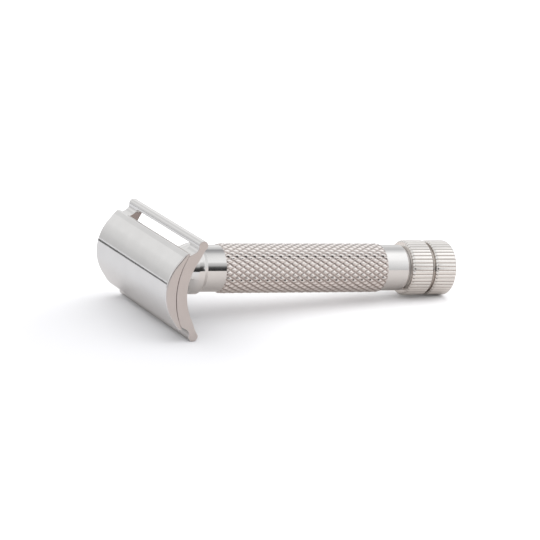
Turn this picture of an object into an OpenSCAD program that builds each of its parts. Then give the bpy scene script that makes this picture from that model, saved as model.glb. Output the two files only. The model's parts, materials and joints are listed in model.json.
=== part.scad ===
// Two-piece safety razor, lying on its side as it rests: on the lower guard bar and the knob's end rim.
// X runs from the head to the knob, Y along the head, Z up. Millimetres.
// Each sub-part is drawn in the razor's own frame and then laid down:
// there +Z runs along the handle's axis towards the cap's crown, X across the head and Y along it.
// A "station" is a distance down the handle from the level of the razor frame's origin.

/* [Head] */
// Length of the guard, end to end
head_len = 41.5; // [40:0.1:44]
// Length of the cap, end to end
cap_len = 42.1; // [41:0.1:44]
// Half of the cap's width, centre line to edge
cap_half_w = 9.35; // [9:0.05:9.5]
// Height of the cap's crown above the razor frame's origin
cap_crown_z = 8.45; // [7.8:0.05:8.6]
// Radius of the cap's outer arch
cap_arch_r = 10.85; // [10:0.05:11]
// Half of the head's width, centre line to the tip of a guard bar
guard_half_w = 12.35; // [12.2:0.05:12.8]
// Radius of the round safety bar along each side of the guard
bar_r = 1.2; // [1:0.05:1.3]
// Length of each lather slot
slot_len = 32; // [28:0.5:34]
// Distance from the centre line to the outer wall of a lather slot
slot_outer_x = 10.65; // [10.4:0.05:10.9]

/* [Handle] */
// Radius of the polished neck and tail
neck_r = 5.8; // [5.6:0.05:6]
// Radius over the crests of the knurled grip
grip_r = 6.21; // [6.1:0.01:6.4]
// Radius of the collar under the guard
collar_r = 6.35; // [6.2:0.05:6.5]
// Station where the collar ends and the neck starts
neck_station = 9.7; // [9:0.1:10.5]
// Station where the knurled grip starts
grip_start = 14.8; // [14:0.1:16]
// Station where the knurled grip ends
grip_end = 60.1; // [56:0.1:61]
// Station of the handle tube's lower end
tube_end = 66.3; // [65:0.05:67]

/* [Knob] */
// Radius over the knob's flutes
knob_r = 6.98; // [6.8:0.02:7.3]
// Gap between the handle tube and the knob
knob_gap = 0.6; // [0.3:0.05:0.8]
// Length of the knob
knob_len = 12.7; // [12:0.1:14]
// Distance from the knob's face to the middle of its waist groove
knob_groove_at = 6.35; // [5.5:0.05:7]
// Flutes around each band of the knob
flute_count = 44; // [36:1:52]

/* [Screw] */
// Radius over the thread of the cap's stud
stud_r = 2.45; // [2.3:0.05:2.45]
// Length of the stud below the cap
stud_len = 11.3; // [10:0.1:12]
// Radius of the draw rod
rod_r = 2.0; // [1.8:0.05:2.2]

/* [Hidden] */
$fn = 96;
far = 200;                       // longer than anything it cuts
lap = 0.5;                       // overlap of two solids that make one piece
running = 0.05;                  // radial clearance of a turning fit
chrome = "gainsboro";

// Cap: a round arch that runs on as a straight flank, with a 45 degree bevel along each edge
cap_arch_z = cap_crown_z - cap_arch_r;
flank_x = 6.57;
flank_z = cap_arch_z + sqrt(pow(cap_arch_r, 2) - pow(flank_x, 2));
bevel_w = 0.85;
bevel_x = cap_half_w - bevel_w;
bevel_z = flank_z - (bevel_x - flank_x) * flank_x / (flank_z - cap_arch_z);
cap_edge_z = bevel_z - bevel_w;
cap_under_z = 5.62;              // crown of the cap's underside
cap_under_r = 18.7;

// Guard: an arched plate, a shoulder on each side and a round bar beyond it
plate_top_z = 5.4;
plate_top_r = 20.1;
plate_edge_x = 8.7;
plate_edge_z = plate_top_z - plate_top_r + sqrt(pow(plate_top_r, 2) - pow(plate_edge_x, 2));
plate_under_z = 2.65;
plate_under_r = 13.7;
under_flat_x = 6.4;              // inner end of the straight flank of the underside
under_flat_z = 1.0;
bar_x = guard_half_w - bar_r;
bar_z = -0.2;
slot_lip = 0.75;                 // thickness of the blade lip over a slot
slot_inner_x = 7.0;
slot_corner_r = 0.95;
pin_r = 1.6;
pin_y = 13.2;
pin_depth = 2.2;                 // reach of a pin into the guard
pin_tip = 0.3;                   // chamfer at a pin's end
pin_clearance = 0.08;
stud_tip = 0.5;                  // chamfer at the stud's end
stud_hole_r = 2.8;

// Collar, socket and handle tube
collar_top_r = 4.9;
collar_waist = 3.0;              // station where the collar starts to swell
collar_swell = 7.3;              // station where it reaches its full radius
collar_chamfer = 1.0;
spigot_r = 5.0;
spigot_start = 6.0;
tube_bore_r = 4.3;
grip_chamfer = grip_r - neck_r;
tube_edge = 0.35;
socket_r = 3.4;
socket_top_z = 1.5;
socket_end = 11.0;
socket_bore_r = 2.5;
socket_bore_end = 7.0;
rod_spigot_r = 1.5;
rod_spigot_start = 7.6;
socket_pin_r = 0.5;
socket_pin_at = 9.4;
collar_bore_r = socket_r + 0.3;
upper_bush_end = 12.5;
lower_bush_len = 8.0;
lower_bush_start = tube_end - lower_bush_len;

// Knob end
knob_face = tube_end + knob_gap;
knob_end = knob_face + knob_len;
groove_at = knob_face + knob_groove_at;
groove_half = 0.4;
groove_r = 6.2;
band_edge = 0.45;                // chamfer at the ends of a band
rim_r = 0.8;                     // rounding of the knob's end rim
flute_r = 0.17;
washer_r = 5.3;
washer_t = 0.5;
washer_gap = 0.02;
wave_t = 0.4;
recess_end = tube_end + washer_t + 2 * washer_gap + wave_t;
clip_t = 0.6;
clip_r = 3.5;
clip_groove_r = 1.5;
clip_at = lower_bush_start - 0.1 - clip_t;
rod_end = knob_face + 8.4;
screw_r = 1.25;
screw_len = 6;
screw_head_r = 2.6;
screw_head_t = 1.5;
plug_r = 5.0;
plug_t = 1.6;

// How the razor lies: the bar and the knob's rim touch the table, which gives the tilt of the axis
lean_x = bar_x - (knob_r - rim_r);
lean_z = bar_z + knob_end - rim_r;
lean = norm([lean_x, lean_z]);
tilt = acos((rim_r - bar_r) / lean) - atan2(lean_z, lean_x);
axis_height = bar_x * cos(tilt) - bar_z * sin(tilt) + bar_r;
low_x = -cap_arch_z * cos(tilt) - cap_arch_r;
high_x = (knob_end - rim_r) * cos(tilt) + (knob_r - rim_r) * sin(tilt) + rim_r;

module lay_down() {
    translate([-(low_x + high_x) / 2, 0, axis_height]) rotate([0, tilt - 90, 0]) children();
}

// An outline drawn across the head, run along the whole head
module along_head(length) {
    rotate([90, 0, 0]) linear_extrude(height = length, center = true) children();
}

// A round bar or hole between two stations
module round_run(r, from, to) {
    translate([0, 0, -to]) cylinder(r = r, h = to - from);
}

// A tube between two stations
module ring_run(r_out, r_in, from, to) {
    difference() {
        round_run(r_out, from, to);
        round_run(r_in, from - 1, to + 1);
    }
}

// A turned shape whose outline is given as [radius, station] points
module turned(points) {
    rotate_extrude() polygon([for (p = points) [p[0], -p[1]]]);
}

module disc(r, z) {
    translate([0, z]) circle(r = r);
}

module above(half_w, z) {
    translate([-half_w, z]) square([2 * half_w, far]);
}

// The cap's solid before its underside is hollowed: the arch, and the flanks that run on from it
module cap_blank() {
    along_head(cap_len) intersection() {
        disc(cap_arch_r, cap_arch_z);
        above(flank_x, flank_z - lap);
    }
    along_head(cap_len)
        polygon([[-cap_half_w, 0], [-cap_half_w, cap_edge_z], [-bevel_x, bevel_z], [-flank_x, flank_z],
                 [flank_x, flank_z], [bevel_x, bevel_z], [cap_half_w, cap_edge_z], [cap_half_w, 0]]);
}

// The round hollow under the cap, where its stud and pins start
module cap_hollow(length) {
    along_head(length) disc(cap_under_r, cap_under_z - cap_under_r);
}

// The right half of the guard, from the centre line out to its bar
module guard_half() {
    along_head(head_len)
        polygon([[-lap, plate_edge_z], [plate_edge_x, plate_edge_z], [9.3, 2.2], [9.75, 1.35],
                 [10.25, bar_z + bar_r + 0.05], [bar_x, bar_z + bar_r - 0.1], [bar_x, bar_z],
                 [10.6, -1.05], [under_flat_x, under_flat_z], [-lap, under_flat_z]]);
    along_head(head_len) translate([bar_x, bar_z]) circle(r = bar_r);
}

// The guard's solid before it is cut: its crown and its two halves
module guard_blank() {
    along_head(head_len) intersection() {
        disc(plate_top_r, plate_top_z - plate_top_r);
        above(plate_edge_x, plate_edge_z - lap);
    }
    guard_half();
    mirror([1, 0, 0]) guard_half();
}

// The round hollow under the guard, which the collar fills at the centre
module under_arch(length) {
    along_head(length) disc(plate_under_r, plate_under_z - plate_under_r);
}

// A rectangle from x0 to x1 and centred on y, with round corners
module round_slot_plan(x0, x1, length, r) {
    translate([x0 + r, -length / 2]) square([x1 - x0 - 2 * r, length]);
    translate([x0, -length / 2 + r]) square([x1 - x0, length - 2 * r]);
    for (x = [x0 + r, x1 - r], y = [-1, 1]) translate([x, y * (length / 2 - r)]) circle(r = r);
}

// The space of one lather slot: it undercuts the lip that carries the blade's edge
module lather_slot() {
    intersection() {
        along_head(slot_len) polygon([[plate_edge_x, cap_crown_z], [plate_edge_x, plate_edge_z - slot_lip],
                                      [slot_inner_x, under_flat_z], [slot_inner_x, -3],
                                      [slot_outer_x, -3], [slot_outer_x, cap_crown_z]]);
        translate([0, 0, -5]) linear_extrude(height = 20)
            round_slot_plan(slot_inner_x - 2, slot_outer_x, slot_len, slot_corner_r);
    }
}

module cap_shell() {
    color(chrome) lay_down() difference() {
        cap_blank();
        cap_hollow(cap_len + 1);
    }
}

module threaded_stud() {
    color("silver") lay_down() intersection() {
        translate([0, 0, cap_under_z - stud_len]) {
            translate([0, 0, stud_tip]) cylinder(r = stud_r, h = stud_len);
            cylinder(r1 = stud_r - stud_tip, r2 = stud_r, h = stud_tip);
        }
        cap_hollow(head_len);
    }
}

module locating_pins() {
    color("silver") lay_down() intersection() {
        for (y = [-pin_y, pin_y]) translate([0, y, plate_top_z - pin_depth]) {
            translate([0, 0, pin_tip]) cylinder(r = pin_r, h = pin_depth + 1);
            cylinder(r1 = pin_r - pin_tip, r2 = pin_r, h = pin_tip);
        }
        cap_hollow(head_len);
    }
}

module guard_plate() {
    color(chrome) lay_down() difference() {
        guard_blank();
        under_arch(head_len + 1);
        lather_slot();
        mirror([1, 0, 0]) lather_slot();
        translate([0, 0, -5]) cylinder(r = stud_hole_r, h = 20);
        for (y = [-pin_y, pin_y]) translate([0, y, -5]) cylinder(r = pin_r + pin_clearance, h = 20);
    }
}

module neck_collar() {
    color(chrome) lay_down() difference() {
        intersection() {
            turned([[0, -plate_under_z], [collar_top_r, -plate_under_z], [collar_top_r + 0.1, collar_waist],
                    [5.3, 4.6], [6.1, 6.3], [collar_r, collar_swell],
                    [collar_r, neck_station - collar_chamfer], [neck_r, neck_station], [0, neck_station]]);
            under_arch(head_len);
        }
        round_run(collar_bore_r, -5, 20);
        round_run(spigot_r, spigot_start, 20);
    }
}

module handle_tube() {
    color(chrome) lay_down() difference() {
        turned([[0, spigot_start], [spigot_r, spigot_start], [spigot_r, neck_station], [neck_r, neck_station],
                [neck_r, grip_start], [grip_r, grip_start + grip_chamfer],
                [grip_r, grip_end - grip_chamfer], [neck_r, grip_end],
                [neck_r, tube_end - tube_edge], [neck_r - tube_edge, tube_end], [0, tube_end]]);
        round_run(tube_bore_r, 0, far);
    }
}

module upper_guide_bush() {
    color("peru") lay_down() ring_run(tube_bore_r, socket_r + running, spigot_start, upper_bush_end);
}

module lower_guide_bush() {
    color("peru") lay_down() ring_run(tube_bore_r, rod_r + running, lower_bush_start, tube_end);
}

module thrust_washer() {
    color("silver") lay_down()
        ring_run(washer_r, rod_r + running, tube_end, tube_end + washer_t);
}

module draw_rod() {
    color("lightsteelblue") lay_down() difference() {
        turned([[0, rod_spigot_start], [rod_spigot_r, rod_spigot_start], [rod_spigot_r, socket_end],
                [rod_r, socket_end], [rod_r, clip_at], [clip_groove_r, clip_at],
                [clip_groove_r, clip_at + clip_t], [rod_r, clip_at + clip_t], [rod_r, rod_end], [0, rod_end]]);
        translate([0, 0, -socket_pin_at]) rotate([0, 90, 0]) cylinder(r = socket_pin_r, h = 20, center = true);
        round_run(screw_r, rod_end - screw_len, rod_end + 1);
    }
}

module threaded_socket() {
    color("goldenrod") lay_down() difference() {
        round_run(socket_r, -socket_top_z, socket_end);
        round_run(socket_bore_r, -socket_top_z - 1, socket_bore_end);
        round_run(rod_spigot_r, socket_bore_end - 1, socket_end + 1);
        translate([0, 0, -socket_pin_at]) rotate([0, 90, 0]) cylinder(r = socket_pin_r, h = 20, center = true);
    }
}

module socket_pin() {
    pin_len = 2 * socket_r - 0.4;
    color("silver") lay_down() translate([0, 0, -socket_pin_at]) rotate([0, 90, 0])
        cylinder(r = socket_pin_r, h = pin_len, center = true);
}

// An open ring that snaps into the rod's groove from the side
module retaining_clip() {
    color("dimgray") lay_down() difference() {
        ring_run(clip_r, clip_groove_r, clip_at, clip_at + clip_t);
        translate([0, -clip_groove_r, -far / 2]) cube([far, 2 * clip_groove_r, far]);
    }
}

module wave_washer() {
    from = tube_end + washer_t + washer_gap;
    color("dimgray") lay_down() ring_run(washer_r - 0.1, rod_r + running, from, from + wave_t);
}

// The knob's turned outline, from its axis outwards: two bands with a groove between them
module knob_blank() {
    turned([[0, knob_face], [knob_r - band_edge, knob_face], [knob_r, knob_face + band_edge],
            [knob_r, groove_at - groove_half - band_edge], [knob_r - band_edge, groove_at - groove_half],
            [groove_r, groove_at - groove_half], [groove_r, groove_at + groove_half],
            [knob_r - band_edge, groove_at + groove_half], [knob_r, groove_at + groove_half + band_edge],
            [knob_r, knob_end - rim_r], [0, knob_end - rim_r]]);
    round_run(knob_r - rim_r, knob_end - 2 * rim_r, knob_end);
    translate([0, 0, rim_r - knob_end]) rotate_extrude() translate([knob_r - rim_r, 0]) circle(r = rim_r);
}

module twist_knob() {
    color(chrome) lay_down() difference() {
        knob_blank();
        for (i = [0 : flute_count - 1]) rotate([0, 0, i * 360 / flute_count])
            translate([knob_r, 0, -knob_end - 1]) cylinder(r = flute_r, h = knob_len + 2);
        round_run(washer_r + 0.1, knob_face - 1, recess_end);
        round_run(rod_r, knob_face - 1, rod_end);
        round_run(screw_head_r, rod_end, knob_end + 1);
        round_run(plug_r, knob_end - plug_t, knob_end + 1);
    }
}

module knob_screw() {
    color("silver") lay_down() difference() {
        union() {
            round_run(screw_r, rod_end - screw_len + 0.5, rod_end);
            round_run(screw_head_r - 0.1, rod_end, rod_end + screw_head_t);
        }
        translate([-far / 2, -0.3, -rod_end - screw_head_t]) cube([far, 0.6, 0.7]);
    }
}

module end_plug() {
    color(chrome) lay_down() round_run(plug_r, knob_end - plug_t, knob_end);
}

cap_shell();
threaded_stud();
locating_pins();
guard_plate();
neck_collar();
handle_tube();
upper_guide_bush();
lower_guide_bush();
thrust_washer();
draw_rod();
threaded_socket();
socket_pin();
retaining_clip();
wave_washer();
twist_knob();
knob_screw();
end_plug();
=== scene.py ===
"""The looks of a two-piece safety razor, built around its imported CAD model.

The razor's lengths are millimetres, and the stage's are metres. Shapes are drawn in the razor's own frame:
z runs up the handle's axis to the cap's crown, x across the head and y along it. A "station" is -z, and LAY
takes that frame to the model's, in metres. There the head is towards -x and the knob towards +x.
"""

import json
import math

import bmesh
import bpy
import numpy as np
from mathutils import Matrix, Vector


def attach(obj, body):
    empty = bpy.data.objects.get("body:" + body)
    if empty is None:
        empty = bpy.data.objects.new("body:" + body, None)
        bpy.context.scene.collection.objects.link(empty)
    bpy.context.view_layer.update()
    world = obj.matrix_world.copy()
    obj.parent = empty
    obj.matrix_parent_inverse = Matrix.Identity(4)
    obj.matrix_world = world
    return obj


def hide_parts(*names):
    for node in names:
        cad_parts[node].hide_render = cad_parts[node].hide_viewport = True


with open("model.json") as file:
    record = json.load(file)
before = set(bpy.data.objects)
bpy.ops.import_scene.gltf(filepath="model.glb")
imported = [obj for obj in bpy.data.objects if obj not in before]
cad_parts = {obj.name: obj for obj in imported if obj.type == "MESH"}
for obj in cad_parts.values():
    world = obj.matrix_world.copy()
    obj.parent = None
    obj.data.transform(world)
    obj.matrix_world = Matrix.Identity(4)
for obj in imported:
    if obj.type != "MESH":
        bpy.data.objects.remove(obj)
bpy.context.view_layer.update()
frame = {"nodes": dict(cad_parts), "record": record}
NODES = frame["nodes"]
MM = 0.001

# ---------------------------------------------------------------- the razor's own frame
FOOT = next(m for m in frame["record"]["mounts"] if m["name"] == "knob_foot")
KNOB_END = 79.6
DOWN = Vector(FOOT["axis"]).normalized()
ALONG = Vector((0, 1, 0))
ACROSS = DOWN.cross(ALONG)
ORIGIN = Vector(FOOT["pos_m"]) - DOWN * KNOB_END * MM
LAY = Matrix.Translation(ORIGIN) @ Matrix((ACROSS, ALONG, -DOWN)).transposed().to_4x4() @ Matrix.Scale(MM, 4)

# ---------------------------------------------------------------- sizes: the CAD model's, and finer shapes
HEAD_END, CAP_END = 20.75, 21.05
CAP_ARCH_R, CAP_ARCH_Z, CAP_FLANK_X = 10.85, -2.4, 6.57
CAP_BEVEL, CAP_EDGE = (8.5, 4.766), (9.35, 3.916)
CAP_UNDER_R, CAP_UNDER_Z = 18.7, 5.62
PLATE_TOP_R, PLATE_TOP_Z, PLATE_EDGE_X = 20.1, 5.4, 8.7
PLATE_UNDER_R, PLATE_UNDER_Z = 13.7, 2.65
BAR_X, BAR_Z, BAR_R = 11.15, -0.2, 1.2
SHOULDER_Z, SHOULDER_END_X = 1.0, 10.6
FLANK_FROM, FLANK_TO = (6.4, 1.0), (10.6, -1.05)
SLOT_HALF, SLOT_CORNER, SLOT_LIP = 16.0, 0.95, 0.75
SLOT_IN_TOP, SLOT_IN_LOW, SLOT_OUT = 8.7, 7.0, 10.65
BRIDGE_X = 10.9
PIN_Y, PIN_HOLE_R, STUD_HOLE_R = 13.2, 1.68, 2.8
STUD_R, STUD_TOP_Z, STUD_END_Z, STUD_PITCH = 2.45, 5.62, -5.68, 0.8
THREAD_DEPTH, THREAD_FADE = 0.45, 0.5
COLLAR_START, COLLAR_END, COLLAR_BORE_R = -2.65, 9.72, 3.7
SPIGOT_R, SPIGOT_START, TUBE_SHOULDER, TUBE_BORE_R = 5.0, 6.0, 9.74, 4.3
NECK_R, GRIP_R, GRIP_START, GRIP_END, TUBE_END = 5.8, 6.21, 14.8, 60.1, 66.3
KNURL_STARTS, KNURL_PITCH, KNURL_DEPTH, KNURL_GAIN, KNURL_SHALLOW = 25, 2.41, 0.42, 1.12, 0.1
KNURL_BULGE, KNURL_STEPS = 0.35, 12
KNOB_R, KNOB_FACE, FLUTES, FLUTE_DEPTH, FLUTE_HALF_W = 6.98, 66.9, 44, 0.15, 0.15
RIDGE_CROWN, FLUTE_STEPS = 0.035, 14
GROOVE_AT, GROOVE_HALF, GROOVE_R, BAND_EDGE, RIM_R = 73.25, 0.4, 6.2, 0.45, 0.8
KNOB_BORE_R, KNOB_RECESS, ROD_R, ROD_END = 5.4, TUBE_END + 0.94, 2.0, KNOB_FACE + 8.4
SCREW_R, PLUG_R, PLUG_SEAT, PLUG_CHAMFER = 2.6, 5.0, KNOB_END - 1.6, 0.12
# Radii that stand for the axis itself
STUD_AXIS_R, PLUG_AXIS_R = 0.0001, 0.001


# ---------------------------------------------------------------- outlines
def arc_z(x, crown_z, radius):
    """Height at x of a round arch with its crown at crown_z."""
    return crown_z - radius + math.sqrt(radius * radius - x * x)


def fillet(corners, step=15.0):
    """An open outline through corners (u, v, radius), each corner rounded to its radius."""
    out = []
    for i, (u, v, r) in enumerate(corners):
        if r == 0 or i in (0, len(corners) - 1):
            out.append((u, v))
            continue
        here = Vector((u, v))
        a = (Vector(corners[i - 1][:2]) - here).normalized()
        b = (Vector(corners[i + 1][:2]) - here).normalized()
        half = a.angle(b) / 2
        centre = here + (a + b).normalized() * (r / math.sin(half))
        first, last = here + a * (r / math.tan(half)), here + b * (r / math.tan(half))
        turn = math.pi - 2 * half
        count = max(2, math.ceil(math.degrees(turn) / step))
        p, q = (first - centre).normalized(), (last - centre).normalized()
        for k in range(count + 1):
            t = k / count
            spread = (p * math.sin((1 - t) * turn) + q * math.sin(t * turn)) / math.sin(turn)
            out.append(tuple(centre + spread * r))
    return out


# ---------------------------------------------------------------- materials
PATCH_SCALE, SCRATCH_M = 260.0, 0.00002


def two_stops(ramp, low, low_colour, high, high_colour):
    """Sets a new colour ramp's two stops."""
    stops = (low, low_colour), (high, high_colour)
    for end, (at, colour) in zip(ramp.color_ramp.elements, stops):
        end.position, end.color = at, (*colour, 1)


def metal(name, colour, roughness, spread=0.03, scratch=0.0, grain=900.0, stretch=(1, 1, 1), metallic=1.0,
          tint=0.04, relief=None):
    """A plated or machined metal. Its tone varies in soft patches, and its roughness and scratches with a
    fine stretched grain. relief, where given, is a painted shade for low places, standing in for the shade
    that falls in grooves, and the height that it fades from."""
    mat = bpy.data.materials.new(name)
    mat.use_nodes = True
    nodes, links = mat.node_tree.nodes, mat.node_tree.links
    shader = nodes["Principled BSDF"]
    shader.inputs["Metallic"].default_value = metallic
    place = nodes.new("ShaderNodeTexCoord")
    patches = nodes.new("ShaderNodeTexNoise")
    patches.inputs["Scale"].default_value = PATCH_SCALE
    patches.inputs["Detail"].default_value = 4.0
    links.new(place.outputs["Object"], patches.inputs["Vector"])
    tone = nodes.new("ShaderNodeValToRGB")
    two_stops(tone, 0.3, [c * (1 - tint) for c in colour], 0.7, colour)
    links.new(patches.outputs["Fac"], tone.inputs["Fac"])
    base = tone.outputs["Color"]
    # Painted shade: the relief's low places are darkened in the base colour.
    if relief:
        base = painted_groove_shade(nodes, links, base, *relief)
    links.new(base, shader.inputs["Base Color"])
    squeeze = nodes.new("ShaderNodeMapping")
    squeeze.inputs["Scale"].default_value = stretch
    links.new(place.outputs["Object"], squeeze.inputs["Vector"])
    fine = nodes.new("ShaderNodeTexNoise")
    fine.inputs["Scale"].default_value = grain
    fine.inputs["Detail"].default_value = 6.0
    links.new(squeeze.outputs["Vector"], fine.inputs["Vector"])
    gloss = nodes.new("ShaderNodeMapRange")
    gloss.inputs["To Min"].default_value = max(0.01, roughness - spread)
    gloss.inputs["To Max"].default_value = roughness + spread
    links.new(fine.outputs["Fac"], gloss.inputs["Value"])
    links.new(gloss.outputs["Result"], shader.inputs["Roughness"])
    if scratch:
        bump = nodes.new("ShaderNodeBump")
        bump.inputs["Strength"].default_value = scratch
        bump.inputs["Distance"].default_value = SCRATCH_M
        links.new(fine.outputs["Fac"], bump.inputs["Height"])
        links.new(bump.outputs["Normal"], shader.inputs["Normal"])
    return mat


def painted_groove_shade(nodes, links, base, shade, floor):
    """Painted shade: multiplies base by shade where the mesh's relief attribute says that the surface lies
    low, standing in for the shade that falls in grooves.
    """
    height = nodes.new("ShaderNodeAttribute")
    height.attribute_name = "relief"
    ramp = nodes.new("ShaderNodeValToRGB")
    two_stops(ramp, floor, shade, 0.75, (1, 1, 1))
    links.new(height.outputs["Fac"], ramp.inputs["Fac"])
    mix = nodes.new("ShaderNodeMix")
    mix.data_type, mix.blend_type = "RGBA", "MULTIPLY"
    mix.inputs["Factor"].default_value = 1.0
    links.new(base, mix.inputs["A"])
    links.new(ramp.outputs["Color"], mix.inputs["B"])
    return mix.outputs["Result"]


# Satin is on the head's end faces. The milled finish is on the guard's inner walls that face the same way,
# and under the cap.
POLISHED = metal("polished_chrome", (0.88, 0.87, 0.86), 0.07, 0.025, 0.05, 700.0)
MILLED = metal("milled_slot", (0.42, 0.35, 0.33), 0.3, 0.08, 0.4, 2200.0, (1, 0.2, 1), tint=0.15)
SATIN = metal("satin_chrome", (0.71, 0.655, 0.63), 0.34, 0.06, 0.35, 2400.0, (1, 1, 0.15))
# Painted shade: relief darkens the knurl's, the flutes' and the thread's grooves, where shade falls.
KNURLED = metal("knurled_chrome", (1.0, 0.955, 0.93), 0.1, 0.03, 0.1, 1500.0,
                relief=((0.42, 0.37, 0.35), 0.05))
FLUTED = metal("fluted_chrome", (1.0, 0.975, 0.945), 0.14, 0.04, 0.1, 1500.0,
               relief=((0.48, 0.45, 0.43), 0.0))
THREAD = metal("plated_thread", (0.78, 0.78, 0.77), 0.18, 0.05, 0.1, 1600.0,
               relief=((0.5, 0.48, 0.45), 0.0))
BRASS = metal("machined_brass", (0.80, 0.60, 0.28), 0.24, 0.06, 0.3, 1800.0, (1, 1, 8), tint=0.14)
BRONZE = metal("sintered_bronze", (0.66, 0.44, 0.24), 0.42, 0.1, 0.7, 5200.0, tint=0.3)
STEEL = metal("ground_steel", (0.66, 0.67, 0.69), 0.22, 0.06, 0.25, 2200.0, (0.1, 1, 1), tint=0.1)
SPRING = metal("spring_steel", (0.80, 0.77, 0.75), 0.5, 0.08, 0.3, 2600.0, tint=0.12)


# ---------------------------------------------------------------- mesh helpers
def piece(name, verts, faces, body, node, materials, relief=None):
    """A mesh drawn in the razor's frame, laid down, riding on body in place of the CAD node."""
    mesh = bpy.data.meshes.new(name)
    mesh.from_pydata([tuple(v) for v in verts], [], faces)
    mesh.transform(LAY)
    if relief is not None:
        heights = mesh.attributes.new("relief", "FLOAT", "POINT")
        heights.data.foreach_set("value", np.asarray(relief, np.float32))
    for m in materials:
        mesh.materials.append(m)
    mesh.validate()
    mesh.shade_smooth()
    obj = bpy.data.objects.new(name, mesh)
    bpy.context.scene.collection.objects.link(obj)
    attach(obj, body)
    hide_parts(node)
    return obj


def tidy_shell(obj):
    """Joins doubled points and turns every face outwards."""
    bm = bmesh.new()
    bm.from_mesh(obj.data)
    bmesh.ops.remove_doubles(bm, verts=bm.verts, dist=2e-7)
    bmesh.ops.dissolve_degenerate(bm, edges=bm.edges, dist=1e-7)
    bmesh.ops.recalc_face_normals(bm, faces=bm.faces)
    bm.to_mesh(obj.data)
    bm.free()


def round_edges(obj, largest, radius_of, sharp=28.0):
    """Rounds each edge sharper than the angle, to radius_of(middle, at_end). Its middle is in the razor's
    frame, and at_end says that it lies in one of the head's end faces."""
    to_razor = LAY.inverted()
    bm = bmesh.new()
    bm.from_mesh(obj.data)
    weight = bm.edges.layers.float.new("bevel_weight_edge")
    for e in bm.edges:
        if len(e.link_faces) == 2 and e.calc_face_angle() > math.radians(sharp):
            ends = [to_razor @ v.co for v in e.verts]
            at_end = abs(ends[0].y - ends[1].y) < 0.001 and abs(ends[0].y) > HEAD_END - 0.01
            e[weight] = radius_of((ends[0] + ends[1]) / 2, at_end) / largest
    bm.to_mesh(obj.data)
    bm.free()
    bevel = obj.modifiers.new("rounding", "BEVEL")
    bevel.limit_method, bevel.width, bevel.segments = "WEIGHT", largest * MM, 4
    bevel.use_clamp_overlap = False
    bevel.material = -1


def even_normals(obj):
    """Large faces lead the shading, so that flats stay flat next to a rounding."""
    normals = obj.modifiers.new("even_normals", "WEIGHTED_NORMAL")
    normals.keep_sharp, normals.weight = True, 100


def satin_ends(obj):
    """The head's flat end faces take the second material, and inner walls facing the same way the third."""
    for p in obj.data.polygons:
        if abs(p.normal.y) > 0.99:
            p.material_index = 1 if abs(p.center.y) > (HEAD_END - 0.01) * MM else 2


def round_ring(r, angles):
    """A plain round ring's radii, and its relief, which is full height."""
    return np.full(len(angles), r), np.ones(len(angles))


def turned(name, outline, body, node, materials, columns=144, shape=None, zone=None, sharp=28.0):
    """A closed outline of (radius, station) points turned about the axis. shape(r, s, angles) gives a ring's
    radii and relief. zone(a, b) says if the band between two outline points takes the second material."""
    angles = np.arange(columns) * (2 * math.pi / columns)
    count = len(outline)
    verts, relief = [], []
    for r, s in outline:
        radii, height = shape(r, s, angles) if shape else round_ring(r, angles)
        verts.append(np.column_stack([radii * np.cos(angles), radii * np.sin(angles), np.full(columns, -s)]))
        relief.append(height)
    pairs = list(zip(outline, outline[1:] + outline[:1]))
    outwards = sum(a[0] * b[1] - b[0] * a[1] for a, b in pairs) > 0
    faces = []
    for i in range(count):
        a, b = i * columns, (i + 1) % count * columns
        ring = [(a + c, a + (c + 1) % columns, b + (c + 1) % columns, b + c) for c in range(columns)]
        faces += [f[::-1] for f in ring] if outwards else ring
    obj = piece(name, np.concatenate(verts), faces, body, node, materials, np.concatenate(relief))
    path = [Vector(p) for p in outline]
    corner = []
    for i in range(count):
        before, after = path[i] - path[i - 1], path[(i + 1) % count] - path[i]
        if before.length > 1e-6 and after.length > 1e-6 and before.angle(after) > math.radians(sharp):
            corner.append(i)
    mark_rings(obj, columns, corner)
    if zone is not None:
        for i in range(count):
            if zone(path[i], path[(i + 1) % count]):
                for p in obj.data.polygons[i * columns:(i + 1) * columns]:
                    p.material_index = 1
    return obj


def mark_rings(obj, columns, rings):
    """Makes the edges round each of these rings sharp."""
    pairs = np.zeros(len(obj.data.edges) * 2, np.int64)
    obj.data.edges.foreach_get("vertices", pairs)
    ring = pairs.reshape(-1, 2) // columns
    sharp = (ring[:, 0] == ring[:, 1]) & np.isin(ring[:, 0], rings)
    obj.data.attributes.new("sharp_edge", "BOOLEAN", "EDGE").data.foreach_set("value", sharp)


# ---------------------------------------------------------------- cap
CAP_STEPS = 34
CAP_RIM, CAP_END_EDGE, CAP_BLADE_EDGE = 0.4, 0.13, 0.08


def cap_section():
    """Points of the cap's right half, from the crown to the edge: (x, height on top, height underneath)."""
    turns = np.linspace(0, math.asin(CAP_FLANK_X / CAP_ARCH_R), CAP_STEPS)
    over = [(CAP_ARCH_R * math.sin(t), CAP_ARCH_Z + CAP_ARCH_R * math.cos(t)) for t in turns]
    return [(x, z, arc_z(x, CAP_UNDER_Z, CAP_UNDER_R)) for x, z in over + [CAP_BEVEL, CAP_EDGE]]


def cap_radius(middle, at_end):
    """The ends' outer outline is well rounded, and the edges by the blade are nearly sharp."""
    if not at_end:
        return CAP_BLADE_EDGE
    outer = middle.z > arc_z(middle.x, CAP_UNDER_Z, CAP_UNDER_R) + 0.9
    return CAP_RIM if outer else CAP_END_EDGE


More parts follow.
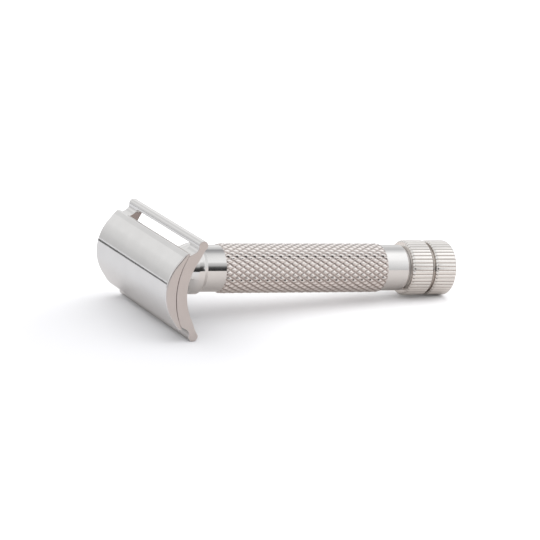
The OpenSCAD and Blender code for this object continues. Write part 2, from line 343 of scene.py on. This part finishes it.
def build_cap():
    """The cap's shell: its section drawn out along the head."""
    half = cap_section()
    across = [(-x, a, b) for x, a, b in reversed(half[1:])] + half
    n = len(across)
    verts = [(c[0], y, c[side]) for y in (-CAP_END, CAP_END) for side in (1, 2) for c in across]
    faces = []
    for i in range(n - 1):
        faces.append((i, i + 1, n + i + 1, n + i))
        faces.append((2 * n + i, 3 * n + i, 3 * n + i + 1, 2 * n + i + 1))
        faces.append((i, 2 * n + i, 2 * n + i + 1, i + 1))
        faces.append((n + i, n + i + 1, 3 * n + i + 1, 3 * n + i))
    faces += [(0, n, 3 * n, 2 * n), (n - 1, 3 * n - 1, 4 * n - 1, 2 * n - 1)]
    cap = piece("cap_skin", verts, faces, "cap", "cap_shell",
                [POLISHED, SATIN, MILLED])
    tidy_shell(cap)
    satin_ends(cap)
    to_razor = LAY.inverted()
    for p in cap.data.polygons:
        middle = to_razor @ p.center
        if middle.z < arc_z(middle.x, CAP_UNDER_Z, CAP_UNDER_R) + 0.01:
            p.material_index = 2
    cap.data.set_sharp_from_angle(angle=math.radians(6))
    round_edges(cap, CAP_RIM, cap_radius)
    even_normals(cap)


# ---------------------------------------------------------------- guard
# The guard is a grid: columns go round its section, and each has ROWS points along y. They lie at the plate's
# end, the slots' end, a pin hole's two sides, the stud hole's two sides, and so on outwards to the other end.
ROWS = 10
PIN_GAPS, STUD_GAPS, SLOT_GAPS = {2, 6}, {4}, set(range(1, 8))
END_ROWS, SLOT_END_ROWS, STUD_ROWS, PIN_ROWS = (0, 9), (1, 8), (4, 5), (2, 3, 6, 7)
NEAR = 1e-4
SHOULDER_SWEEP = 2.2
GUARD_RIM, GUARD_END_EDGE, GUARD_EDGE, GUARD_RIM_Z = 0.2, 0.14, 0.1, 3.4


def plate_under(x):
    """Height of the guard's underside at x."""
    (x0, z0), (x1, z1) = FLANK_FROM, FLANK_TO
    flank = z0 + (x - x0) * (z1 - z0) / (x1 - x0)
    if x < PLATE_EDGE_X:
        arch = arc_z(x, PLATE_UNDER_Z, PLATE_UNDER_R)
        return max(flank, arch) if x > x0 else arch
    if x <= BAR_X - BAR_R:
        return flank
    return min(flank, BAR_Z - math.sqrt(max(0.0, BAR_R ** 2 - (x - BAR_X) ** 2)))


def plate_over(x):
    """Height of the guard's top at x, out to the crown of its bar."""
    if x <= PLATE_EDGE_X:
        return arc_z(x, PLATE_TOP_Z, PLATE_TOP_R)
    rise = arc_z(PLATE_EDGE_X, PLATE_TOP_Z, PLATE_TOP_R) - SHOULDER_Z
    left = max(0.0, SHOULDER_END_X - x) / (SHOULDER_END_X - PLATE_EDGE_X)
    return SHOULDER_Z + rise * left ** SHOULDER_SWEEP


def slot_half_length(x):
    """Half of the lather slot's length at x: its outer corners are round."""
    inner = SLOT_OUT - SLOT_CORNER
    over = min(max(abs(x) - inner, 0.0), SLOT_CORNER)
    return SLOT_HALF - SLOT_CORNER + math.sqrt(SLOT_CORNER ** 2 - over ** 2)


def guard_columns():
    """The guard's section from the crown over the right bar to the centre underneath, with the numbers of the
    slot's columns on top and underneath, paired, and the number of columns over the holes."""
    sines = [math.sin(math.radians(t)) for t in range(0, 91, 15)]
    centre = sorted(set(round(r * share, 6) for r in (PIN_HOLE_R, STUD_HOLE_R) for share in sines))
    corner = [SLOT_OUT - SLOT_CORNER * (1 - share) for share in sines]
    over_xs = list(np.linspace(SLOT_IN_TOP, corner[0], 5))[:-1] + corner
    under_xs = list(np.linspace(SLOT_IN_LOW, corner[0], 5))[:-1] + corner
    top = centre + list(np.linspace(STUD_HOLE_R, SLOT_IN_TOP, 14))[1:-1] + over_xs + [BRIDGE_X]
    low = centre + list(np.linspace(STUD_HOLE_R, SLOT_IN_LOW, 14))[1:-1]
    columns = [(x, plate_over(x)) for x in top]
    over = [len(columns) - 1 - len(over_xs) + k for k in range(len(over_xs))]
    for angle in np.linspace(90, -90, 19):
        t = math.radians(angle)
        columns.append((BAR_X + BAR_R * math.cos(t), BAR_Z + BAR_R * math.sin(t)))
    columns += [(x, plate_under(x)) for x in [BRIDGE_X] + under_xs[::-1]]
    under = [len(columns) - 1 - k for k in range(len(under_xs))]
    columns += [(x, plate_under(x)) for x in reversed(low)]
    return columns, over, under, len(centre)


def guard_rows(x):
    """Where the rows of the guard's grid lie along y at x. Past a hole its two sides lie together."""
    s = slot_half_length(x)
    p = math.sqrt(max(0.0, PIN_HOLE_R ** 2 - x * x))
    c = math.sqrt(max(0.0, STUD_HOLE_R ** 2 - x * x))
    return [-HEAD_END, -s, -PIN_Y - p, -PIN_Y + p, -c, c, PIN_Y - p, PIN_Y + p, s, HEAD_END]


def guard_skin(loop, slots):
    """Faces all round the guard's section, but not over its holes and slots."""
    faces = []
    for i in range(len(loop)):
        j = (i + 1) % len(loop)
        reach = max(abs(loop[i][0]), abs(loop[j][0]))
        gaps = set(range(ROWS - 1))
        if reach <= PIN_HOLE_R + NEAR:
            gaps -= PIN_GAPS
        if reach <= STUD_HOLE_R + NEAR:
            gaps -= STUD_GAPS
        if any(i in s and j in s for s in slots):
            gaps -= SLOT_GAPS
        faces += [(i * ROWS + r, j * ROWS + r, j * ROWS + r + 1, i * ROWS + r + 1) for r in sorted(gaps)]
    return faces


def guard_ends(sides, paired):
    """The end faces: strips between paired columns on top and underneath, then one face at the bar."""
    n = len(sides[0])
    rings = [(k, k + 1, n - 2 - k, n - 1 - k) for k in range(paired)] + [range(paired, n - paired)]
    return [tuple(side[v] * ROWS + row for v in ring) for row in END_ROWS for side in sides for ring in rings]


def hole_walls(loop, path):
    """One side's walls of the three holes, along a path of paired columns on top and underneath."""
    faces = []
    over_pin = [pair for pair in path if abs(loop[pair[0]][0]) <= PIN_HOLE_R + NEAR]
    for rows, pairs in ((STUD_ROWS, path), (PIN_ROWS, over_pin)):
        for row in rows:
            for (a, b), (c, d) in zip(pairs, pairs[1:]):
                faces.append((a * ROWS + row, c * ROWS + row, d * ROWS + row, b * ROWS + row))
    return faces


def slot_walls(loop, verts, pairs):
    """One slot's walls, with a line of points a little below the top. They are added to verts."""
    faces, mids = [], []
    for a, _ in pairs:
        x, z = loop[a]
        mids.append(len(verts))
        verts.extend((x, y, z - SLOT_LIP) for y in guard_rows(x)[1:-1])
    for row in SLOT_END_ROWS:
        for k in range(len(pairs) - 1):
            (a, b), (c, d) = pairs[k], pairs[k + 1]
            m, q = mids[k] + row - 1, mids[k + 1] + row - 1
            faces.append((a * ROWS + row, c * ROWS + row, q, m))
            faces.append((m, q, d * ROWS + row, b * ROWS + row))
    for k in (0, len(pairs) - 1):
        a, b = pairs[k]
        for row in sorted(SLOT_GAPS):
            m = mids[k] + row - 1
            faces.append((a * ROWS + row, a * ROWS + row + 1, m + 1, m))
            faces.append((m, m + 1, b * ROWS + row + 1, b * ROWS + row))
    return faces


def guard_radius(middle, at_end):
    """The ends' top outline is rounded most, and edges away from the ends least."""
    if not at_end:
        return GUARD_EDGE
    return GUARD_RIM if middle.z > GUARD_RIM_Z else GUARD_END_EDGE


def build_guard():
    """The guard plate with its bars, slots and holes."""
    right, over, under, centre = guard_columns()
    loop = right + [(-x, z) for x, z in reversed(right[1:-1])]
    n, total = len(right), len(loop)

    def mirrored(columns):
        return [(total - i) % total for i in columns]

    verts = [(x, y, z) for x, z in loop for y in guard_rows(x)]
    faces = guard_skin(loop, [over, under, mirrored(over), mirrored(under)])
    faces += guard_ends([range(n), mirrored(range(n))], n - 1 - under[-1])
    top, low = list(range(centre)), [n - 1 - k for k in range(centre)]
    for a, b in ((top, low), (mirrored(top), mirrored(low))):
        faces += hole_walls(loop, list(zip(a, b)))
    for a, b in ((over, under), (mirrored(over), mirrored(under))):
        faces += slot_walls(loop, verts, list(zip(a, b)))
    guard = piece("guard_skin", verts, faces, "handle", "guard_plate",
                  [POLISHED, SATIN, MILLED])
    tidy_shell(guard)
    satin_ends(guard)
    guard.data.set_sharp_from_angle(angle=math.radians(40))
    round_edges(guard, GUARD_RIM, guard_radius)
    even_normals(guard)


# ---------------------------------------------------------------- stud
def build_stud():
    """The cap's threaded stud, with its helical thread cut in."""
    steps, columns = 10, 60
    rows = np.arange(0, (STUD_TOP_Z - STUD_END_Z) / STUD_PITCH * steps + 1e-6) * STUD_PITCH / steps

    def shape(r, s, angles):
        """The free end is chamfered, and the shade painted into the grooves fades out by the cap."""
        if r == STUD_AXIS_R:
            return round_ring(r, angles)
        phase = (s / STUD_PITCH - angles / (2 * math.pi)) % 1.0
        crest = np.clip((0.5 - np.abs(phase - 0.5)) * 2.6 - 0.15, 0, 1)
        tip = min(1.0, (-STUD_END_Z - s) / THREAD_FADE)
        top = max(0.0, min(1.0, (s + STUD_TOP_Z) / THREAD_FADE))
        radii = np.minimum(STUD_R - THREAD_DEPTH * (1 - crest), STUD_R - THREAD_FADE * (1 - tip))
        return radii, crest * top + 1 - top

    outline = [(STUD_R, -STUD_TOP_Z + t) for t in rows]
    outline = [(STUD_AXIS_R, -STUD_TOP_Z)] + outline + [(STUD_AXIS_R, -STUD_END_Z)]
    turned("stud_skin", outline, "cap", "threaded_stud", [THREAD], columns, shape, sharp=70)


# ---------------------------------------------------------------- collar and handle
def build_collar():
    """The flared collar, cut off along the guard's underside."""
    outer = [(4.9, COLLAR_START, 0), (4.95, 2.2, 1.5), (5.15, 4.2, 1.2), (6.05, 6.3, 1.5), (6.35, 7.2, 0.8),
             (6.35, 8.7, 0.25), (NECK_R, 9.7, 0.12), (NECK_R, COLLAR_END, 0)]
    outline = fillet(outer, 6) + [(SPIGOT_R, COLLAR_END), (SPIGOT_R, SPIGOT_START),
                                  (COLLAR_BORE_R, SPIGOT_START), (COLLAR_BORE_R, COLLAR_START)]
    collar = turned("collar_skin", outline, "handle", "neck_collar", [POLISHED], 180)
    for v in collar.data.vertices:
        local = LAY.inverted() @ v.co
        roof = arc_z(local.x, PLATE_UNDER_Z, PLATE_UNDER_R)
        if local.z > roof:
            local.z = roof
            v.co = LAY @ local
    even_normals(collar)


def knurl(s, angles):
    """Radii and relief over a ring of the knurled grip. Two sets of helical grooves, one a little shallower,
    leave diamonds, and the grip's ends are chamfered. The relief paints shade into the grooves' low places."""
    turn, climb = KNURL_STARTS * angles / (2 * math.pi), s / KNURL_PITCH
    deep, light = (np.abs((v + 0.5) % 1.0 - 0.5) * 2 for v in (turn + climb, turn - climb))
    light = KNURL_SHALLOW + (1 - KNURL_SHALLOW) * light
    height = np.minimum(1.0, KNURL_GAIN * np.minimum(deep, light))
    height = height * (1 + KNURL_BULGE - KNURL_BULGE * height)
    chamfer = NECK_R + min(s - GRIP_START, GRIP_END - s)
    return np.minimum(GRIP_R - KNURL_DEPTH * (1 - height), chamfer), height


def build_handle():
    """The tube: its spigot inside the collar, the plain neck, the knurled grip and the plain tail."""
    step = KNURL_PITCH / KNURL_STEPS
    rows = int((GRIP_END - GRIP_START) / step)
    start = GRIP_START + (GRIP_END - GRIP_START - rows * step) / 2
    stations = [GRIP_START] + [start + k * step for k in range(rows + 1)] + [GRIP_END]
    neck = [(SPIGOT_R, SPIGOT_START), (SPIGOT_R, TUBE_SHOULDER), (NECK_R, TUBE_SHOULDER),
            (NECK_R, GRIP_START - 0.02)]
    tail = fillet([(NECK_R, GRIP_END + 0.02, 0), (NECK_R, TUBE_END, 0.4), (TUBE_BORE_R, TUBE_END, 0)], 10)
    outline = neck + [(GRIP_R, s) for s in stations] + tail + [(TUBE_BORE_R, SPIGOT_START)]

    def shape(r, s, angles):
        return knurl(s, angles) if r == GRIP_R else round_ring(r, angles)

    def on_grip(a, b):
        return max(a.x, b.x) > GRIP_R - 0.001

    handle = turned("handle_skin", outline, "handle", "handle_tube", [POLISHED, KNURLED],
                    KNURL_STARTS * KNURL_STEPS, shape, on_grip)
    even_normals(handle)


# ---------------------------------------------------------------- knob
def flutes(r, s, angles):
    """Narrow grooves run the length of the knob and leave ridges with hardly any crown. The waist's floor and
    what lies inside stay round, and the floor counts as low. The relief paints shade into the flutes and
    the waist's floor."""
    if r <= GROOVE_R:
        return np.full(len(angles), r), np.full(len(angles), 0.0 if r == GROOVE_R else 1.0)
    share = (FLUTES * angles / (2 * math.pi)) % 1.0
    away = np.minimum(share, 1 - share) * 2 * math.pi * KNOB_R / FLUTES
    cut = np.sqrt(np.clip(1 - (away / FLUTE_HALF_W) ** 2, 0, 1))
    crown = RIDGE_CROWN * ((share - 0.5) * 2) ** 2
    return np.minimum(r, KNOB_R - crown - FLUTE_DEPTH * cut), 1 - cut


def build_knob():
    """The fluted knob, round the rod and its screw, and the plug that closes its end."""
    edge = KNOB_R - BAND_EDGE
    low, high = GROOVE_AT + GROOVE_HALF, GROOVE_AT - GROOVE_HALF
    outer = [(PLUG_R, KNOB_END, 0), (KNOB_R, KNOB_END, RIM_R), (KNOB_R, low + BAND_EDGE, 0.1),
             (edge, low, 0.08), (GROOVE_R, low, 0), (GROOVE_R, high, 0), (edge, high, 0.08),
             (KNOB_R, high - BAND_EDGE, 0.1), (KNOB_R, KNOB_FACE + BAND_EDGE, 0.1), (edge, KNOB_FACE, 0.08),
             (KNOB_BORE_R, KNOB_FACE, 0)]
    inner = [(KNOB_BORE_R, KNOB_RECESS), (ROD_R, KNOB_RECESS), (ROD_R, ROD_END), (SCREW_R, ROD_END),
             (SCREW_R, PLUG_SEAT), (PLUG_R, PLUG_SEAT)]
    knob = turned("knob_skin", fillet(outer, 10) + inner, "knob", "twist_knob", [FLUTED],
                  FLUTES * FLUTE_STEPS, flutes)
    even_normals(knob)
    rim = [(PLUG_AXIS_R, PLUG_SEAT), (PLUG_R, PLUG_SEAT), (PLUG_R, KNOB_END - PLUG_CHAMFER),
           (PLUG_R - PLUG_CHAMFER, KNOB_END), (PLUG_AXIS_R, KNOB_END)]
    plug = turned("plug_skin", rim, "knob", "end_plug", [POLISHED], 120)
    even_normals(plug)


build_cap()
build_guard()
build_stud()
build_collar()
build_handle()
build_knob()

# These CAD pieces keep their own meshes, and only take a material.
KEPT = {"locating_pins": THREAD, "threaded_socket": BRASS, "upper_guide_bush": BRONZE,
        "lower_guide_bush": BRONZE, "draw_rod": STEEL, "socket_pin": STEEL, "knob_screw": STEEL,
        "thrust_washer": SPRING, "retaining_clip": SPRING, "wave_washer": SPRING}
for name, mat in KEPT.items():
    NODES[name].data.materials.clear()
    NODES[name].data.materials.append(mat)


# ---------------------------------------------------------------- stage, light and camera
def math_node(tree, kind, a, b=None):
    """A maths node's output. Each input is a number or another node's output."""
    node = tree.nodes.new("ShaderNodeMath")
    node.operation = kind
    for socket, value in zip(node.inputs, (a, b)):
        if isinstance(value, (int, float)):
            socket.default_value = value
        elif value is not None:
            tree.links.new(value, socket)
    return node.outputs[0]


def times(tree, a, b):
    return math_node(tree, "MULTIPLY", a, b)


def minus(tree, a, b):
    return math_node(tree, "SUBTRACT", a, b)


def ramp_node(tree, fac, low, high, stops):
    """Grey levels along fac, given as (fac value, level) stops between low and high."""
    share = math_node(tree, "DIVIDE", minus(tree, fac, low), high - low)
    ramp = tree.nodes.new("ShaderNodeValToRGB")
    ends = ramp.color_ramp.elements
    ends[0].position, ends[0].color = 0, (stops[0][1],) * 3 + (1,)
    ends[1].position, ends[1].color = 1, (stops[-1][1],) * 3 + (1,)
    for value, level in stops:
        e = ends.new((value - low) / (high - low))
        e.color = (level,) * 3 + (1,)
    tree.links.new(share, ramp.inputs["Fac"])
    return ramp.outputs["Color"]


def blend_node(tree, share, a, b):
    """Colour a where share is 0, and b where it is 1. Each is a colour or another node's output."""
    mix = tree.nodes.new("ShaderNodeMix")
    mix.data_type = "RGBA"
    tree.links.new(share, mix.inputs["Factor"])
    for name, colour in (("A", a), ("B", b)):
        if isinstance(colour, tuple):
            mix.inputs[name].default_value = (*colour, 1)
        else:
            tree.links.new(colour, mix.inputs[name])
    return mix.outputs["Result"]


def window(tree, value, low, high, soft):
    """1 between low and high, falling to 0 over soft outside them."""
    up = math_node(tree, "DIVIDE", minus(tree, value, low - soft), soft)
    down = math_node(tree, "DIVIDE", minus(tree, high + soft, value), soft)
    least = math_node(tree, "MINIMUM", up, down)
    return math_node(tree, "MAXIMUM", math_node(tree, "MINIMUM", least, 1.0), 0.0)


# Grey levels of the studio's walls by elevation in degrees
WALL_STOPS = [(-30, 0.6), (-4, 0.68), (0, 0.72), (5, 0.76), (16, 0.86), (26, 0.93), (36, 0.97), (41, 1.05),
              (50, 1.1), (60, 1.12), (90, 1.08)]
BACK_STOPS = [(-20, 0.66), (0, 0.65), (7, 0.72), (10, 0.79), (17, 0.88), (20, 0.95), (23.2, 0.99), (25, 0.86),
              (29, 0.8), (60, 0.85), (90, 0.95)]
GAP_STOPS = [(-8, 0.5), (-2, 0.2), (2, 0.02), (7, 0.03), (13, 0.05), (17.5, 0.13), (21.7, 0.42), (26, 0.54),
             (30, 0.585), (34, 0.77), (38, 0.96), (60, 1.0)]
# The grey screen's strength by azimuth in degrees, and how much of it is left on its far part
SCREEN_STOPS = [(44, 0.22), (55, 0.3), (68, 0.37), (88, 0.53), (99, 0.68), (109, 0.86), (120, 0.93), (128, 1),
                (135, 0.73), (141, 0.45), (150, 0)]
FAR_STOPS = [(86, 0), (96, 0.2), (106, 0.37), (124, 0.62), (136, 0.78), (142, 1)]
SCREEN_GREY, SCREEN_EDGE_X = (0.33, 0.33, 0.34), 0.515
GAP_LEAN, GAP_LEAN_FROM = 0.37, 12
CORNER_SHARE = 0.15
SURROUND = (1.52, 1.52, 1.545)


def ray_angles(tree):
    """The ray's x, and its elevation and azimuth in degrees. Azimuth runs from -y at 0 to +x at 90."""
    way = tree.nodes.new("ShaderNodeTexCoord")
    axes = tree.nodes.new("ShaderNodeSeparateXYZ")
    tree.links.new(way.outputs["Generated"], axes.inputs[0])
    x, y, z = axes.outputs
    el = times(tree, math_node(tree, "ARCSINE", z), 180 / math.pi)
    az = times(tree, math_node(tree, "ARCTAN2", x, times(tree, y, -1.0)), 180 / math.pi)
    return x, el, az


def screen_share(tree, x, el, az):
    """How much the grey screen on the +x side hides the wall. Beyond its edge it is thinner."""
    depth = ramp_node(tree, az, 40, 170, SCREEN_STOPS)
    thin = ramp_node(tree, az, 80, 170, FAR_STOPS)
    far = minus(tree, 1.0, window(tree, x, -1, SCREEN_EDGE_X, 0.03))
    kept = minus(tree, 1.0, times(tree, far, minus(tree, 1.0, thin)))
    return times(tree, times(tree, depth, kept), window(tree, el, 0, 62, 8))


def studio_walls(tree):
    """What reflections see: pale walls, a back wall, a grey screen, a dark gap low in front, a dim corner."""
    x, el, az = ray_angles(tree)
    general = ramp_node(tree, el, -90, 90, WALL_STOPS)
    gap = ramp_node(tree, el, -90, 90, GAP_STOPS)
    back = ramp_node(tree, el, -90, 90, BACK_STOPS)
    behind = math_node(tree, "ADD", window(tree, az, -180, -95, 15), window(tree, az, 150, 180, 10))
    level = blend_node(tree, behind, general, back)
    level = blend_node(tree, screen_share(tree, x, el, az), level, SCREEN_GREY)
    above = math_node(tree, "MAXIMUM", minus(tree, el, GAP_LEAN_FROM), 0)
    leaning = minus(tree, az, times(tree, above, GAP_LEAN))
    level = blend_node(tree, window(tree, leaning, -60, 28.7, 0.8), level, gap)
    corner = times(tree, window(tree, az, -125, 4, 18), window(tree, el, 42, 74, 12))
    return blend_node(tree, times(tree, corner, CORNER_SHARE), level, SCREEN_GREY)


def build_world():
    """A white studio. Matte surfaces and the camera see an even surround, and reflections see its walls."""
    world = bpy.data.worlds.new("studio")
    bpy.context.scene.world = world
    world.use_nodes = True
    tree = world.node_tree
    tree.nodes.clear()
    rays = tree.nodes.new("ShaderNodeLightPath")
    level = blend_node(tree, rays.outputs["Is Glossy Ray"], SURROUND, studio_walls(tree))
    light = tree.nodes.new("ShaderNodeBackground")
    tree.links.new(level, light.inputs["Color"])
    out = tree.nodes.new("ShaderNodeOutputWorld")
    tree.links.new(light.outputs[0], out.inputs["Surface"])


FLOOR_SIZE = 8
# A painted shadow: the paper is painted greyer in a soft round patch beyond the head, towards the front.
SHADE_AT, SHADE_FROM, SHADE_TO = (-0.055, -0.018, 0), 0.02, 0.075
SHADE_GREY, PAPER_WHITE = (0.67, 0.67, 0.675), (0.93, 0.93, 0.93)
# Painted reflection tones: reflections see the paper painted darker, and warmer towards the knob.
WARM_FROM_X, WARM_TO_X = -0.055, -0.02
MIRRORED_COOL, MIRRORED_WARM = (0.505, 0.505, 0.51), (0.505, 0.475, 0.455)


def seen_paper(tree, place):
    """The paper's colour, with a painted shadow: greyer in a soft round patch beyond the head, towards
    the front.
    """
    away = tree.nodes.new("ShaderNodeVectorMath")
    away.operation = "DISTANCE"
    away.inputs[1].default_value = SHADE_AT
    tree.links.new(place, away.inputs[0])
    paper = tree.nodes.new("ShaderNodeValToRGB")
    two_stops(paper, SHADE_FROM, SHADE_GREY, SHADE_TO, PAPER_WHITE)
    paper.color_ramp.interpolation = "EASE"
    tree.links.new(away.outputs["Value"], paper.inputs["Fac"])
    return paper.outputs["Color"]


def mirrored_paper(tree, place):
    """The paper as reflections see it, painted darker than the camera sees it, and warmer from the head on
    towards the knob.
    """
    axes = tree.nodes.new("ShaderNodeSeparateXYZ")
    tree.links.new(place, axes.inputs[0])
    warm = tree.nodes.new("ShaderNodeMapRange")
    warm.inputs["From Min"].default_value = WARM_FROM_X
    warm.inputs["From Max"].default_value = WARM_TO_X
    tree.links.new(axes.outputs["X"], warm.inputs["Value"])
    return blend_node(tree, warm.outputs["Result"], MIRRORED_COOL, MIRRORED_WARM)


def build_floor():
    """A pale matte sheet of paper."""
    bpy.ops.mesh.primitive_plane_add(size=FLOOR_SIZE)
    floor = bpy.context.object
    floor.name = "floor"
    mat = bpy.data.materials.new("floor_paper")
    mat.use_nodes = True
    tree = mat.node_tree
    shader = tree.nodes["Principled BSDF"]
    shader.inputs["Roughness"].default_value = 1.0
    shader.inputs["Specular IOR Level"].default_value = 0.0
    place = tree.nodes.new("ShaderNodeTexCoord").outputs["Object"]
    rays = tree.nodes.new("ShaderNodeLightPath")
    seen, mirrored = seen_paper(tree, place), mirrored_paper(tree, place)
    # The camera sees the paper with its painted shadow, and reflections see it painted darker.
    colour = blend_node(tree, rays.outputs["Is Glossy Ray"], seen, mirrored)
    tree.links.new(colour, shader.inputs["Base Color"])
    floor.data.materials.append(mat)


LAMP_AT, LAMP_SIZE, LAMP_WATTS = (0.5, 0.45, 0.8), (2.0, 1.6), 0.7


def build_light():
    """One large soft light, high behind the knob's side. The camera and reflections don't see it."""
    data = bpy.data.lights.new("softbox", "AREA")
    data.shape = "RECTANGLE"
    data.size, data.size_y = LAMP_SIZE
    data.energy = LAMP_WATTS
    lamp = bpy.data.objects.new("softbox", data)
    bpy.context.scene.collection.objects.link(lamp)
    lamp.location = LAMP_AT
    lamp.rotation_mode = "QUATERNION"
    lamp.rotation_quaternion = (-Vector(lamp.location)).to_track_quat("-Z", "Y")
    lamp.visible_glossy = False
    lamp.visible_camera = False


CARD_AT, CARD_WAY, CARD_HALF_LENGTH, CARD_HEIGHT = (-0.09, 0.205, 0.0), (0.9, 0.42, 0), 0.5, 0.0085


def build_card():
    """The dark edge behind the head that the cap's arch mirrors as a thin line. Only reflections see it."""
    centre = Vector(CARD_AT)
    along = Vector(CARD_WAY).normalized() * CARD_HALF_LENGTH
    up = Vector((0, 0, CARD_HEIGHT))
    corners = [centre - along, centre + along, centre + along + up, centre - along + up]
    mesh = bpy.data.meshes.new("sweep_edge")
    mesh.from_pydata(corners, [], [(0, 1, 2, 3)])
    mat = bpy.data.materials.new("sweep_edge")
    mat.use_nodes = True
    shader = mat.node_tree.nodes["Principled BSDF"]
    shader.inputs["Base Color"].default_value = (0.02, 0.02, 0.02, 1)
    shader.inputs["Emission Color"].default_value = (0.12, 0.12, 0.12, 1)
    shader.inputs["Emission Strength"].default_value = 0.8
    mesh.materials.append(mat)
    card = bpy.data.objects.new("sweep_edge", mesh)
    bpy.context.scene.collection.objects.link(card)
    card.visible_camera = card.visible_diffuse = card.visible_shadow = False


# The camera's place is in millimetres, and its azimuth is measured from -y.
CAMERA_AT = (-309.37, -587.97, 195.13)
CAMERA_AZIMUTH, CAMERA_ELEVATION, CAMERA_ROLL = -27.28, 15.65, -3.47
LENS_MM, SENSOR_MM = 184.71, 36


def build_camera():
    """A long lens looks down a little from the front, out on the head's side."""
    azimuth, elevation, roll = (math.radians(a) for a in (CAMERA_AZIMUTH, CAMERA_ELEVATION, CAMERA_ROLL))
    back = Vector((math.sin(azimuth) * math.cos(elevation), -math.cos(azimuth) * math.cos(elevation),
                   math.sin(elevation)))
    level = Vector((math.cos(azimuth), math.sin(azimuth), 0))
    upright = back.cross(level)
    right = level * math.cos(roll) - upright * math.sin(roll)
    up = level * math.sin(roll) + upright * math.cos(roll)
    data = bpy.data.cameras.new("camera")
    data.lens, data.sensor_width = LENS_MM, SENSOR_MM
    data.clip_start, data.clip_end = 0.05, 20
    camera = bpy.data.objects.new("camera", data)
    bpy.context.scene.collection.objects.link(camera)
    turn = Matrix((right, up, back)).transposed()
    camera.matrix_world = Matrix.Translation(Vector(CAMERA_AT) * MM) @ turn.to_4x4()
    bpy.context.scene.camera = camera


build_world()
build_floor()
build_light()
build_card()
build_camera()
bpy.context.scene.view_settings.view_transform = "Standard"
